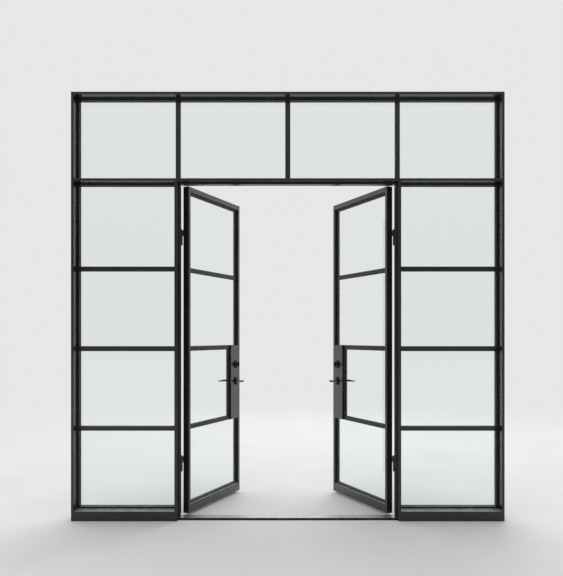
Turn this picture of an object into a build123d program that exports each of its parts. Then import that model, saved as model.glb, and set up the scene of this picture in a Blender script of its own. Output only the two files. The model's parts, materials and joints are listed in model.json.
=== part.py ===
from build123d import *
from math import cos, radians, sin, sqrt
import os

os.makedirs("parts", exist_ok=True)

# Steel frame: a pair of doors with a sidelight on each side and a transom above.
# X runs to the right as seen from indoors, +Y points outdoors, Z is up.
# The origin is under the middle of the threshold, half way through the frame.
frame_width = 3112.0
frame_height = 3083.0
frame_depth = 150.0
member_face = 19.0
frame_wall = 3.0
tube_corner = 1.5
door_opening = 1588.0
transom_underside = 2443.0
base_rail_height = 70.0
anchor_hole_radius = 3.5
anchor_end_distance = 250.0
anchor_count = 4
head_anchor_spacing = 800.0

# Fixed glazing, set in from the frame's indoor face
glazing_setback = 82.0
fixed_stop_depth = 20.0
stop_height = 16.0
glass_thickness = 10.0
glass_play = 0.3
glass_edge_clearance = 3.0
bead_depth = 12.0
bead_bevel = 3.0
stop_bevel = 1.5
muntin_face = 31.0
muntin_web = 8.0
first_muntin_height = 653.0
muntin_pitch = 584.0
muntin_count = 3
block_length = 60.0
block_inset = 90.0

# Threshold
threshold_lead = 19.0
threshold_slope = 38.0
threshold_height = 15.0
threshold_outer_edge = 4.0
threshold_front_bevel = 3.0
threshold_groove_width = 28.0
threshold_groove_depth = 8.0
threshold_groove_offset = 24.0

# Stops that the closed leaves meet
door_stop_depth = 50.5
door_stop_height = 14.0
door_stop_wall = 2.5
seal_width = 8.0
seal_thickness = 2.2
seal_play = 0.3

# Leaves
hinge_gap = 3.0
meeting_gap = 4.0
top_gap = 5.0
bottom_gap = 2.0
leaf_inset = 1.0
leaf_thickness = 48.0
leaf_wall = 2.5
stile_face = 25.4
top_rail_face = 38.0
bottom_rail_face = 66.0
leaf_stop_depth = 4.7
leaf_bead_depth = 4.7
left_open_angle = 66.0
right_open_angle = 64.0
astragal_width = 38.0
astragal_thickness = 5.0
astragal_lap = 18.0
astragal_play = 1.0
astragal_bevel = 1.5
sweep_width = 8.0
sweep_groove_depth = 1.0
sweep_shoulder = 1.0
sweep_play = 0.8

# Weld-on hinges, each with an upper knuckle on the leaf and a lower one on the frame
lower_hinge_rise = 366.0
upper_hinge_drop = 374.0
hinge_offset = 17.0
knuckle_radius = 11.0
knuckle_height = 59.25
knuckle_bevel = 3.0
washer_thickness = 1.5
hinge_pin_radius = 6.0
hinge_pin_length = 50.0
running_clearance = 0.05
tab_height = 44.0
tab_foot = 20.0
tab_edge_gap = 2.0
tab_weld = 0.1
leaf_tab_gap = 4.0
washer_inset = 1.0

# Lock box and its furniture
lock_box_width = 147.0
lock_box_wall = 3.0
lever_above_box_middle = 8.0
turn_above_lever = 140.0
rose_width = 38.0
rose_height = 64.0
rose_thickness = 8.0
rose_bevel = 1.5
rose_socket = 2.0
neck_wall = 2.2
lever_projection = 76.0
lever_length = 98.0
lever_root = 20.0
lever_tip = 12.0
lever_root_cover = 1.0
lever_tip_rise = 8.0
lever_edge = 2.0
lever_swing = 45.0
spindle_size = 8.0
spindle_socket = 26.0
spindle_play = 0.1
spindle_end_play = 0.5
spindle_room = 2.35
turn_stem_cover = 0.35
turn_stem_length = 12.0
turn_paddle_height = 34.0
turn_paddle_depth = 20.0
turn_paddle_thickness = 7.0
turn_paddle_corner = 6.5
turn_paddle_bevel = 1.0
turn_paddle_seat = 4.0
turn_swing = 90.0
cylinder_collar_radius = 16.0
cylinder_collar_length = 11.0
cylinder_collar_bevel = 2.0
cylinder_plug_radius = 7.0
cylinder_plug_rise = 1.0
keyway_width = 2.0
keyway_height = 9.0
keyway_depth = 11.0
cylinder_body_radius = 12.5

# Latch and deadbolt of the right leaf
latch_travel = 12.0
latch_bevel = 7.0
deadbolt_travel = 25.0
bolt_width = 11.0
bolt_height = 17.0
bolt_corner = 1.5
bolt_play = 0.1
bolt_riser = 9.5
bolt_face_recess = 0.5
bolt_tube_radius = 12.5
case_stile_gap = 0.6
case_tail_room = 8.6
case_thickness = 16.0
case_room = 0.4
case_wall = 1.5
faceplate_width = 25.0
faceplate_height = 57.0
hub_radius = 6.0
hub_gap = 1.5
drive_pin_radius = 2.5
drive_slot_play = 0.6
drive_plate_thickness = 3.0
drive_arm_thickness = 4.5
drive_layer_gap = 0.5
drive_margin = 2.3
strike_play = 1.5

# Shoot bolts of the left leaf
shoot_bolt_travel = 17.0
shoot_bolt_radius = 5.0
shoot_bolt_inset = 0.5
shoot_hub_rim = 2.5
shoot_strip_width = 11.0
shoot_tongue_height = 24.0
tongue_end_room = 36.0
tongue_slot_play = 1.0
keep_radius = 6.5
keep_bush_wall = 1.5
keep_plate = 1.5
keep_plate_length = 60.0
keep_plate_width = 28.0
gear_case_gap = 2.6
gear_case_reach = 42.0
gear_case_height = 92.0
gear_post_radius = 4.0
gear_post_inset = 8.0

# How far a cut runs past the faces that it opens
overcut = 1.0

# Places that follow from the sizes above
front = -frame_depth / 2
back = frame_depth / 2
jamb_outer = frame_width / 2
jamb_inner = jamb_outer - member_face
mullion_inner = door_opening / 2
mullion_outer = mullion_inner + member_face
transom_top = transom_underside + member_face
head_soffit = frame_height - member_face
stop_face = front + glazing_setback
glass_face = stop_face + fixed_stop_depth
glass_pocket = glass_thickness + 2 * glass_play
bead_inner = glass_face + glass_pocket
bead_face = bead_inner + bead_depth
muntin_heights = [first_muntin_height + i * muntin_pitch for i in range(muntin_count)]
anchor_pitch = (frame_height - 2 * anchor_end_distance) / (anchor_count - 1)
anchor_heights = [anchor_end_distance + i * anchor_pitch for i in range(anchor_count)]
leaf_outer = back - leaf_inset
leaf_inner = leaf_outer - leaf_thickness
door_stop_back = leaf_inner - seal_play - seal_thickness
door_stop_face = door_stop_back - door_stop_depth
threshold_front = door_stop_face - threshold_lead
threshold_back_flat = back - threshold_slope
leaf_mid = (leaf_inner + leaf_outer) / 2
leaf_free = meeting_gap / 2
leaf_hinged = mullion_inner - hinge_gap
leaf_bottom = threshold_height + bottom_gap
leaf_top = transom_underside - top_gap
lock_stile_inner = leaf_free + stile_face
hinge_stile_inner = leaf_hinged - stile_face
top_rail_bottom = leaf_top - top_rail_face
bottom_rail_top = leaf_bottom + bottom_rail_face
leaf_glass_face = leaf_mid - glass_pocket / 2
leaf_stop_face = leaf_glass_face - leaf_stop_depth
leaf_bead_inner = leaf_mid + glass_pocket / 2
leaf_bead_face = leaf_bead_inner + leaf_bead_depth
hinge_heights = (leaf_bottom + lower_hinge_rise, leaf_top - upper_hinge_drop)
pivot_x = mullion_inner - hinge_gap / 2
pivot_y = leaf_outer + hinge_offset
box_inner_x = leaf_free + lock_box_width
box_bottom = muntin_heights[0] - muntin_face / 2
box_top = muntin_heights[1] + muntin_face / 2
lever_height = (box_bottom + box_top) / 2 + lever_above_box_middle
turn_height = lever_height + turn_above_lever
stile_mid = leaf_free + stile_face / 2
spindle_half_diagonal = spindle_size / sqrt(2)
neck_radius = spindle_half_diagonal + spindle_play * sqrt(2) + neck_wall
spindle_hole_radius = spindle_half_diagonal + spindle_room
turn_stem_radius = spindle_half_diagonal + turn_stem_cover
latch_arm = latch_travel / 2 / sin(radians(lever_swing / 2))
deadbolt_arm = deadbolt_travel / 2 / sin(radians(turn_swing / 2))
shoot_arm = shoot_bolt_travel / 2 / sin(radians(turn_swing / 2))
shoot_hub_radius = shoot_arm + drive_pin_radius + shoot_hub_rim
drive_slot_half = drive_pin_radius + drive_slot_play
tail_rim = drive_slot_half + drive_margin
case_start = lock_stile_inner + case_stile_gap
drawn_tail = case_start + case_wall + bolt_face_recess + deadbolt_travel
lock_x = drawn_tail + bolt_riser + hub_gap + hub_radius
case_end = lock_x + deadbolt_travel / 2 + tail_rim + case_tail_room + case_wall
case_half_height = max(latch_arm, deadbolt_arm) + tail_rim + case_room + case_wall


def block(x, y, z):
    """A rectangular bar or plate between pairs of coordinates."""
    size = Box(x[1] - x[0], y[1] - y[0], z[1] - z[0])
    return Pos((x[0] + x[1]) / 2, (y[0] + y[1]) / 2, (z[0] + z[1]) / 2) * size


def rod(start, length, radius, axis):
    """A round bar from its start point along a row axis."""
    plane = Plane(origin=start, z_dir=axis)
    return extrude(plane * Circle(radius), amount=length)


def tube_section(width, depth, wall):
    """The rounded hollow section of a welded steel tube."""
    outer = RectangleRounded(width, depth, tube_corner)
    return outer - Rectangle(width - 2 * wall, depth - 2 * wall)


def upright(x, y, z, wall):
    """A tube that stands upright, with a welded cap at each end."""
    width, depth = x[1] - x[0], y[1] - y[0]
    base = Plane(origin=((x[0] + x[1]) / 2, (y[0] + y[1]) / 2, z[0]))
    tube = extrude(base * tube_section(width, depth, wall), amount=z[1] - z[0])
    cap = extrude(base * Rectangle(width - 2 * wall, depth - 2 * wall), amount=wall)
    return tube + cap + Pos(0, 0, z[1] - z[0] - wall) * cap


def crossbar(x, y, z, wall):
    """A tube that runs across, welded between two uprights."""
    start = Plane(
        origin=(x[0], (y[0] + y[1]) / 2, (z[0] + z[1]) / 2), x_dir=(0, 1, 0), z_dir=(1, 0, 0)
    )
    return extrude(start * tube_section(y[1] - y[0], z[1] - z[0], wall), amount=x[1] - x[0])


def edge_bar(middle, inward, length, height, glass_y, face_y, bevel):
    """A bar along one edge of a pane, beveled on the corner that shows."""
    step = bevel if face_y > glass_y else -bevel
    outline = [
        (0, glass_y),
        (height, glass_y),
        (height, face_y - step),
        (height - bevel, face_y),
        (0, face_y),
    ]
    direction = Vector(*inward)
    plane = Plane(
        origin=(middle[0], 0, middle[1]), x_dir=direction, z_dir=direction.cross(Vector(0, 1, 0))
    )
    return extrude(plane * Polygon(*outline, align=None), amount=length / 2, both=True)


def pane_edges(x, z, heights, glass_y, face_y, bevel):
    """Four bars round a pane: heights are given for left, right, bottom and top."""
    left, right, bottom, top = heights
    mid_x, mid_z = (x[0] + x[1]) / 2, (z[0] + z[1]) / 2
    tall, wide = z[1] - z[0], x[1] - x[0] - left - right
    level_x = mid_x + (left - right) / 2
    bars = []
    for at, inward, length, height in (
        ((x[0], mid_z), (1, 0, 0), tall, left),
        ((x[1], mid_z), (-1, 0, 0), tall, right),
        ((level_x, z[0]), (0, 0, 1), wide, bottom),
        ((level_x, z[1]), (0, 0, -1), wide, top),
    ):
        if height:
            bars.append(edge_bar(at, inward, length, height, glass_y, face_y, bevel))
    return bars


def muntin(x, z, cap_x, face_y, cap_depth, end_y):
    """A tee bar across a bay: its cap stands in front of the glass, its web between the panes."""
    cap_y = face_y + cap_depth
    outline = [
        (muntin_face / 2, cap_y),
        (muntin_face / 2, face_y + stop_bevel),
        (muntin_face / 2 - stop_bevel, face_y),
        (stop_bevel - muntin_face / 2, face_y),
        (-muntin_face / 2, face_y + stop_bevel),
        (-muntin_face / 2, cap_y),
    ]
    plane = Plane(origin=((cap_x[0] + cap_x[1]) / 2, 0, z), x_dir=(0, 0, 1), z_dir=(-1, 0, 0))
    cap = extrude(
        plane * Polygon(*outline, align=None), amount=(cap_x[1] - cap_x[0]) / 2, both=True
    )
    web = block(x, (cap_y, end_y), (z - muntin_web / 2, z + muntin_web / 2))
    return cap + web


def setting_blocks(x, z, glass_y):
    """Two rubber blocks that a pane stands on."""
    depth = (glass_y + glass_play, glass_y + glass_play + glass_thickness)
    rise = (z, z + glass_edge_clearance)
    first = x[0] + block_inset
    last = x[1] - block_inset
    return [
        block((first, first + block_length), depth, rise),
        block((last - block_length, last), depth, rise),
    ]


def glazed_bay(x, z, muntins):
    """A fixed bay: stops and muntins, beads, panes and setting blocks, with muntins across it."""
    bars = pane_edges(x, z, (stop_height,) * 4, glass_face, stop_face, stop_bevel)
    cap_x = (x[0] + stop_height, x[1] - stop_height)
    for level in muntins:
        bars.append(muntin(x, level, cap_x, stop_face, fixed_stop_depth, bead_face))
    half_web = muntin_web / 2
    bottoms = [z[0]] + [level + half_web for level in muntins]
    tops = [level - half_web for level in muntins] + [z[1]]
    short_bead = (muntin_face - muntin_web) / 2
    beads, panes, blocks = [], [], []
    for i in range(len(tops)):
        low = stop_height if i == 0 else short_bead
        high = stop_height if i == len(tops) - 1 else short_bead
        cell = (bottoms[i], tops[i])
        beads += pane_edges(
            x, cell, (stop_height, stop_height, low, high), bead_inner, bead_face, bead_bevel
        )
        panes.append(pane(x, cell, glass_face + glass_play))
        blocks += setting_blocks(x, cell[0], glass_face)
    return bars, beads, panes, blocks


def pane(x, z, y):
    """A sheet of glass inside its pocket, clear of the edges."""
    clear = glass_edge_clearance
    depth = (y, y + glass_thickness)
    return block((x[0] + clear, x[1] - clear), depth, (z[0] + clear, z[1] - clear))


def anchor_holes(side):
    """Fixing holes through a jamb, inside the glazing pocket."""
    middle = glass_face + glass_pocket / 2
    start = side * (jamb_inner - overcut)
    length = member_face + 2 * overcut
    return [
        rod((start, middle, height), length, anchor_hole_radius, (side, 0, 0))
        for height in anchor_heights
    ]


def build_frame_members():
    """The welded tubes of the frame."""
    depth = (front, back)
    nodes = {}
    for name, side in (("left", -1), ("right", 1)):
        jamb_x = sorted((side * jamb_inner, side * jamb_outer))
        jamb = upright(jamb_x, depth, (0, frame_height), frame_wall)
        for hole in anchor_holes(side):
            jamb -= hole
        nodes[name + "_jamb"] = jamb
        mullion_x = sorted((side * mullion_inner, side * mullion_outer))
        nodes[name + "_mullion"] = upright(
            mullion_x, depth, (0, transom_underside), frame_wall
        )
    head = crossbar(
        (-jamb_inner, jamb_inner), depth, (head_soffit, frame_height), frame_wall
    )
    middle = glass_face + glass_pocket / 2
    for side in (-1, 1):
        at = (side * head_anchor_spacing / 2, middle, head_soffit - overcut)
        head -= rod(at, member_face + 2 * overcut, anchor_hole_radius, (0, 0, 1))
    nodes["head_rail"] = head
    rail = crossbar(
        (-jamb_inner, jamb_inner), depth, (transom_underside, transom_top), frame_wall
    )
    keep_at = (-stile_mid, leaf_mid, transom_underside - overcut)
    rail -= rod(keep_at, frame_wall + 2 * overcut, keep_radius, (0, 0, 1))
    nodes["transom_rail"] = rail
    base_z = (0, base_rail_height)
    nodes["base_rails"] = [
        crossbar(sorted((side * mullion_outer, side * jamb_inner)), depth, base_z, frame_wall)
        for side in (-1, 1)
    ]
    return nodes


def build_fixed_glazing():
    """The glazing of both sidelights and of the transom."""
    nodes = {"sidelight_bars": [], "sidelight_glass": []}
    beads, blocks = [], []
    for side in (-1, 1):
        bay = glazed_bay(
            sorted((side * mullion_outer, side * jamb_inner)),
            (base_rail_height, transom_underside),
            muntin_heights,
        )
        nodes["sidelight_bars"] += bay[0]
        beads += bay[1]
        nodes["sidelight_glass"] += bay[2]
        blocks += bay[3]
    transom = build_transom()
    nodes["transom_bars"] = transom[0]
    nodes["transom_glass"] = transom[2]
    nodes["frame_beads"] = beads + transom[1]
    nodes["frame_setting_blocks"] = blocks + transom[3]
    return nodes


def build_transom():
    """The transom's bars, beads, panes and blocks: its muntins stand upright."""
    height = head_soffit - transom_top
    middle = (head_soffit + transom_top) / 2
    turn = Pos(0, 0, middle) * Rot(0, 90, 0)
    muntin_x = (mullion_inner + mullion_outer) / 2
    stops = (-muntin_x, 0.0, muntin_x)
    bars, beads, panes, _ = glazed_bay((-height / 2, height / 2), (-jamb_inner, jamb_inner), stops)
    turned = [[turn * solid for solid in group] for group in (bars, beads, panes)]
    half_web = muntin_web / 2
    edges = [-jamb_inner, -muntin_x, 0.0, muntin_x, jamb_inner]
    blocks = []
    for i in range(len(edges) - 1):
        bay_x = (edges[i] + half_web, edges[i + 1] - half_web)
        blocks += setting_blocks(bay_x, transom_top, glass_face)
    return turned + [blocks]


def build_threshold():
    """A metal saddle: flat indoors, sloping to the outdoor edge, grooved underneath."""
    outline = [
        (threshold_front, 0),
        (threshold_front, threshold_height - threshold_front_bevel),
        (threshold_front + threshold_front_bevel, threshold_height),
        (threshold_back_flat, threshold_height),
        (back, threshold_outer_edge),
        (back, 0),
    ]
    plane = Plane(origin=(0, 0, 0), x_dir=(0, 1, 0), z_dir=(1, 0, 0))
    saddle = extrude(
        plane * Polygon(*outline, align=None), amount=mullion_inner, both=True
    )
    groove = Rectangle(threshold_groove_width, 2 * threshold_groove_depth)
    for place in (-threshold_groove_offset, threshold_groove_offset):
        saddle -= extrude(plane * Pos(place, 0) * groove, amount=mullion_inner + overcut, both=True)
    bush_hole = (-stile_mid, leaf_mid, -overcut)
    bush_radius = keep_radius + keep_bush_wall
    return saddle - rod(bush_hole, threshold_height + 2 * overcut, bush_radius, (0, 0, 1))


def build_door_stops():
    """The tubes that the closed leaves meet, with their rubber seals."""
    depth = (door_stop_face, door_stop_back)
    stops, seals = [], []
    seal_y = (door_stop_back, door_stop_back + seal_thickness)
    edge = (door_stop_height + seal_width) / 2
    low = threshold_height
    high = transom_underside - door_stop_height
    for side in (-1, 1):
        stop_x = sorted((side * mullion_inner, side * (mullion_inner - door_stop_height)))
        stops.append(upright(stop_x, depth, (low, high), door_stop_wall))
        seal_x = sorted(side * (mullion_inner - edge + i * seal_width) for i in (0, 1))
        seals.append(block(seal_x, seal_y, (low, high)))
    across = (-mullion_inner, mullion_inner)
    stops.append(crossbar(across, depth, (high, transom_underside), door_stop_wall))
    seal_top = transom_underside - edge + seal_width
    seals.append(block(across, seal_y, (seal_top - seal_width, seal_top)))
    return stops, seals


def hinge_tab(outline, low):
    """The welded plate between a knuckle and what carries it."""
    points = [(pivot_x + x, pivot_y + y) for x, y in outline]
    return extrude(Pos(0, 0, low) * Polygon(*points, align=None), amount=tab_height)


def frame_hinge(height):
    """The lower knuckle with its pin, washer and tab, welded to the mullion's outdoor face."""
    base = height - washer_thickness / 2
    low = (pivot_x, pivot_y, base - knuckle_height)
    knuckle = rod(low, knuckle_height, knuckle_radius, (0, 0, 1))
    knuckle = chamfer(knuckle.edges().sort_by(Axis.Z)[0], knuckle_bevel)
    washer_height = washer_thickness - running_clearance
    washer = rod((pivot_x, pivot_y, base), washer_height, knuckle_radius - washer_inset, (0, 0, 1))
    pin = rod((pivot_x, pivot_y, base), hinge_pin_length, hinge_pin_radius, (0, 0, 1))
    foot = back - pivot_y
    edge = hinge_gap / 2
    reach = knuckle_radius - tab_weld
    outline = [(edge + tab_edge_gap, foot), (edge + tab_foot, foot), (reach, 0), (0, 0), (0, -reach)]
    tab = hinge_tab(outline, base - (knuckle_height + tab_height) / 2)
    return knuckle + washer + pin + tab


def leaf_hinge(height):
    """The upper knuckle with its blind bore and tab, welded to the leaf's outdoor face."""
    base = height + washer_thickness / 2
    knuckle = rod((pivot_x, pivot_y, base), knuckle_height, knuckle_radius, (0, 0, 1))
    knuckle = chamfer(knuckle.edges().sort_by(Axis.Z)[-1], knuckle_bevel)
    foot = -hinge_offset
    reach = knuckle_radius - tab_weld
    near, far = -leaf_tab_gap, -leaf_tab_gap - tab_foot
    outline = [(far, foot), (near, foot), (0, -reach), (0, 0), (-reach, 0)]
    tab = hinge_tab(outline, base + (knuckle_height - tab_height) / 2)
    bore_radius = hinge_pin_radius + running_clearance
    bore = rod((pivot_x, pivot_y, base - overcut), hinge_pin_length, bore_radius, (0, 0, 1))
    return knuckle + tab - bore


def leaf_members(stile_cuts, box_cuts):
    """The welded tubes and the lock box of one leaf, at its closed place on the right."""
    depth = (leaf_inner, leaf_outer)
    lock_stile = upright((leaf_free, lock_stile_inner), depth, (leaf_bottom, leaf_top), leaf_wall)
    for cut in stile_cuts:
        lock_stile -= cut
    rail_x = (lock_stile_inner, hinge_stile_inner)
    bottom_rail = crossbar(rail_x, depth, (leaf_bottom, bottom_rail_top), leaf_wall)
    bottom_rail -= sweep_groove()
    return {
        "hinge_stile": upright(
            (hinge_stile_inner, leaf_hinged), depth, (leaf_bottom, leaf_top), leaf_wall
        ),
        "lock_stile": lock_stile,
        "top_rail": crossbar(rail_x, depth, (top_rail_bottom, leaf_top), leaf_wall),
        "bottom_rail": bottom_rail,
        "lock_box": lock_box(box_cuts),
    }


def lock_box(cuts):
    """A folded steel box, flush with both faces of the leaf, with glass grooves at its ends."""
    wall = lock_box_wall
    body = block((lock_stile_inner, box_inner_x), (leaf_inner, leaf_outer), (box_bottom, box_top))
    hollow = block(
        (lock_stile_inner - overcut, box_inner_x - wall),
        (leaf_inner + wall, leaf_outer - wall),
        (box_bottom + wall, box_top - wall),
    )
    groove_depth = (muntin_face - muntin_web) / 2
    for end, inward in ((box_bottom, 1), (box_top, -1)):
        pocket_y = (leaf_glass_face, leaf_bead_inner)
        channel_y = (leaf_glass_face - wall, leaf_bead_inner + wall)
        pocket_z = sorted((end - inward, end + inward * groove_depth))
        channel_z = sorted((end, end + inward * (groove_depth + wall)))
        body -= block((lock_stile_inner - overcut, box_inner_x + overcut), pocket_y, pocket_z)
        hollow -= block((lock_stile_inner - 2 * overcut, box_inner_x), channel_y, channel_z)
    body -= hollow
    for cut in cuts:
        body -= cut
    return body


def sweep_groove():
    """The shallow groove under the bottom rail that locates the sweep."""
    half = sweep_width / 2
    return block(
        (lock_stile_inner - overcut, hinge_stile_inner + overcut),
        (leaf_mid - half, leaf_mid + half),
        (leaf_bottom - overcut, leaf_bottom + sweep_groove_depth),
    )


def build_sweep():
    """A rubber strip under the leaf, thinned to a lip that just clears the threshold."""
    half = sweep_width / 2
    low = threshold_surface(leaf_mid - half) + sweep_play
    outline = [
        (leaf_mid - half, leaf_bottom + sweep_groove_depth),
        (leaf_mid - half, leaf_bottom - sweep_shoulder),
        (leaf_mid - half / 2, low),
        (leaf_mid + half / 2, low),
        (leaf_mid + half, leaf_bottom - sweep_shoulder),
        (leaf_mid + half, leaf_bottom + sweep_groove_depth),
    ]
    middle = (lock_stile_inner + hinge_stile_inner) / 2
    plane = Plane(origin=(middle, 0, 0), x_dir=(0, 1, 0), z_dir=(1, 0, 0))
    length = hinge_stile_inner - lock_stile_inner
    return extrude(plane * Polygon(*outline, align=None), amount=length / 2, both=True)


def threshold_surface(y):
    """The height of the threshold's top at a depth through the frame."""
    if y <= threshold_back_flat:
        return threshold_height
    share = (y - threshold_back_flat) / (back - threshold_back_flat)
    return threshold_height + share * (threshold_outer_edge - threshold_height)


def leaf_glazing():
    """Stops, muntins, beads, panes and blocks of one leaf: the lock box narrows the second pane."""
    half_web = muntin_web / 2
    half_cap = muntin_face / 2
    short_bead = half_cap - half_web
    hinge_cap = hinge_stile_inner - stop_height
    stop = (leaf_glass_face, leaf_stop_face, stop_bevel)
    bead = (leaf_bead_inner, leaf_bead_face, bead_bevel)
    opening_z = (bottom_rail_top, top_rail_bottom)
    lower, middle, upper = muntin_heights
    bars = pane_edges(
        (lock_stile_inner, hinge_stile_inner), opening_z, (0, stop_height, 0, 0), *stop
    )
    lock_edges = [
        (lock_stile_inner, bottom_rail_top, box_bottom),
        (box_inner_x, lower + half_cap, middle - half_cap),
        (lock_stile_inner, box_top, top_rail_bottom),
    ]
    for edge_x, low, high in lock_edges:
        middle_z = (low + high) / 2
        bars.append(edge_bar((edge_x, middle_z), (1, 0, 0), high - low, stop_height, *stop))
    level_x = (lock_stile_inner + hinge_stile_inner) / 2
    level_length = hinge_cap - lock_stile_inner - stop_height
    for level, inward in ((bottom_rail_top, (0, 0, 1)), (top_rail_bottom, (0, 0, -1))):
        bars.append(edge_bar((level_x, level), inward, level_length, stop_height, *stop))
    cap_depth = leaf_glass_face - leaf_stop_face
    for level, start in ((lower, box_inner_x), (middle, box_inner_x), (upper, lock_stile_inner)):
        cap_start = start + stop_height if start == lock_stile_inner else start
        bars.append(
            muntin(
                (start, hinge_stile_inner),
                level,
                (cap_start, hinge_cap),
                leaf_stop_face,
                cap_depth,
                leaf_bead_face,
            )
        )
    beads, panes, blocks = [], [], []
    bottoms = [bottom_rail_top] + [level + half_web for level in muntin_heights]
    tops = [level - half_web for level in muntin_heights] + [top_rail_bottom]
    starts = [lock_stile_inner, box_inner_x, lock_stile_inner, lock_stile_inner]
    for i in range(len(tops)):
        cell_x = (starts[i], hinge_stile_inner)
        cell_z = (bottoms[i], tops[i])
        panes.append(pane(cell_x, cell_z, leaf_glass_face + glass_play))
        block_x = (box_inner_x, hinge_stile_inner)
        blocks += setting_blocks(block_x, cell_z[0], leaf_glass_face)
        low = stop_height if i == 0 else short_bead
        high = stop_height if i == len(tops) - 1 else short_bead
        beads += pane_edges(cell_x, cell_z, (0, stop_height, 0, 0), *bead)
        side_low = box_top if i == 2 else cell_z[0]
        side_high = box_bottom if i == 0 else cell_z[1]
        side_at = (cell_x[0], (side_low + side_high) / 2)
        beads.append(edge_bar(side_at, (1, 0, 0), side_high - side_low, stop_height, *bead))
        for level, inward, height, beside_box in (
            (cell_z[0], (0, 0, 1), low, i == 2),
            (cell_z[1], (0, 0, -1), high, i == 0),
        ):
            start = box_inner_x if beside_box else cell_x[0] + stop_height
            middle_x = (start + hinge_cap) / 2
            beads.append(edge_bar((middle_x, level), inward, hinge_cap - start, height, *bead))
    return bars, beads, panes, blocks


def rose(height, face_y, outward, bore_radius):
    """A rectangular rose on one face of the leaf, beveled round its front, with a bore."""
    far = face_y + outward * rose_thickness
    plate = block(
        (lock_x - rose_width / 2, lock_x + rose_width / 2),
        sorted((face_y, far)),
        (height - rose_height / 2, height + rose_height / 2),
    )
    front_edges = plate.faces().sort_by(Axis.Y)[-1 if outward > 0 else 0].edges()
    plate = chamfer(front_edges, rose_bevel)
    start = (lock_x, face_y - outward * overcut, height)
    return plate - rod(start, rose_thickness + 2 * overcut, bore_radius, (0, outward, 0))


def lever(outward):
    """A lever: a round neck and a grip that thins both ways towards the hinge side."""
    face_y = leaf_outer if outward > 0 else leaf_inner
    grip_y = face_y + outward * (lever_projection - lever_root / 2)
    neck_start = face_y + outward * rose_socket
    neck_length = abs(grip_y - neck_start)
    neck = rod((lock_x, neck_start, lever_height), neck_length, neck_radius, (0, outward, 0))
    tip_x = lock_x + lever_length
    tip_y = grip_y - outward * (lever_root - lever_tip) / 4
    seen_from_above = [
        *(Pos(lock_x, grip_y) * Circle(lever_root / 2)).edges(),
        *(Pos(tip_x, tip_y) * Circle(lever_tip / 2)).edges(),
    ]
    seen_from_front = [
        *(Pos(lock_x, lever_height) * Circle(neck_radius + lever_root_cover)).edges(),
        *(Pos(tip_x, lever_height) * Circle(lever_tip_rise / 2)).edges(),
    ]
    level = Plane(origin=(0, 0, lever_height))
    upright_plane = Plane(origin=(0, grip_y, 0), x_dir=(1, 0, 0), z_dir=(0, -1, 0))
    grip = extrude(level * make_hull(seen_from_above), amount=lever_root, both=True)
    grip &= extrude(upright_plane * make_hull(seen_from_front), amount=lever_root, both=True)
    return neck + chamfer(grip.edges(), lever_edge)


def spindle_span():
    """Where the square spindle ends inside the two necks."""
    return leaf_inner - spindle_socket, leaf_outer + spindle_socket


def build_levers():
    """Both levers and the square spindle between them."""
    low, high = spindle_span()
    spindle = square_bar(lever_height, (low, high), 0)
    socket = square_bar(lever_height, (low - spindle_end_play, high + spindle_end_play), spindle_play)
    return lever(-1) - socket, lever(1) - socket, spindle


def turn_knob():
    """A thumb-turn on the leaf's indoor face, with its paddle upright."""
    start = leaf_inner - rose_socket
    stem_end = leaf_inner - rose_thickness - turn_stem_length
    stem = rod((lock_x, start, turn_height), start - stem_end, turn_stem_radius, (0, -1, 0))
    outline = RectangleRounded(turn_paddle_depth, turn_paddle_height, turn_paddle_corner)
    paddle_y = stem_end + turn_paddle_seat - turn_paddle_depth / 2
    plane = Plane(origin=(lock_x, paddle_y, turn_height), x_dir=(0, 1, 0), z_dir=(1, 0, 0))
    paddle = extrude(plane * outline, amount=turn_paddle_thickness / 2, both=True)
    side_faces = paddle.faces().filter_by(Axis.X)
    paddle = chamfer([edge for face in side_faces for edge in face.edges()], turn_paddle_bevel)
    return stem + paddle


def crank(height, arm, angle, reach_y):
    """A crank arm on a square shaft: its pin stands at an angle from upright, towards +X."""
    pin_x = lock_x + arm * sin(radians(angle))
    pin_z = height + arm * cos(radians(angle))
    plane = Plane(origin=(0, leaf_mid, 0), x_dir=(1, 0, 0), z_dir=(0, -1, 0))
    ends = [
        *(Pos(lock_x, height) * Circle(hub_radius)).edges(),
        *(Pos(pin_x, pin_z) * Circle(drive_pin_radius)).edges(),
    ]
    plate = extrude(plane * make_hull(ends), amount=drive_arm_thickness)
    start = (pin_x, leaf_mid - drive_arm_thickness, pin_z)
    return plate + rod(start, drive_arm_thickness + reach_y, drive_pin_radius, (0, 1, 0))


def bolt_section(height, room):
    """The rounded oblong section of a bolt, or of its passage when it has room round it."""
    plane = Plane(origin=(0, leaf_mid, height), x_dir=(0, 1, 0), z_dir=(1, 0, 0))
    width, rise = bolt_width + 2 * room, bolt_height + 2 * room
    return plane * RectangleRounded(width, rise, bolt_corner + room)


def bolt_passage(height, x, room):
    """The straight space that a bolt slides through."""
    return Pos(x[0], 0, 0) * extrude(bolt_section(height, room), amount=x[1] - x[0])


def faceplate(height):
    """The plate of a lock or strike, flush with the free edge of the leaf."""
    return block(
        (leaf_free, leaf_free + leaf_wall),
        (leaf_mid - faceplate_width / 2, leaf_mid + faceplate_width / 2),
        (height - faceplate_height / 2, height + faceplate_height / 2),
    )


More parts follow.
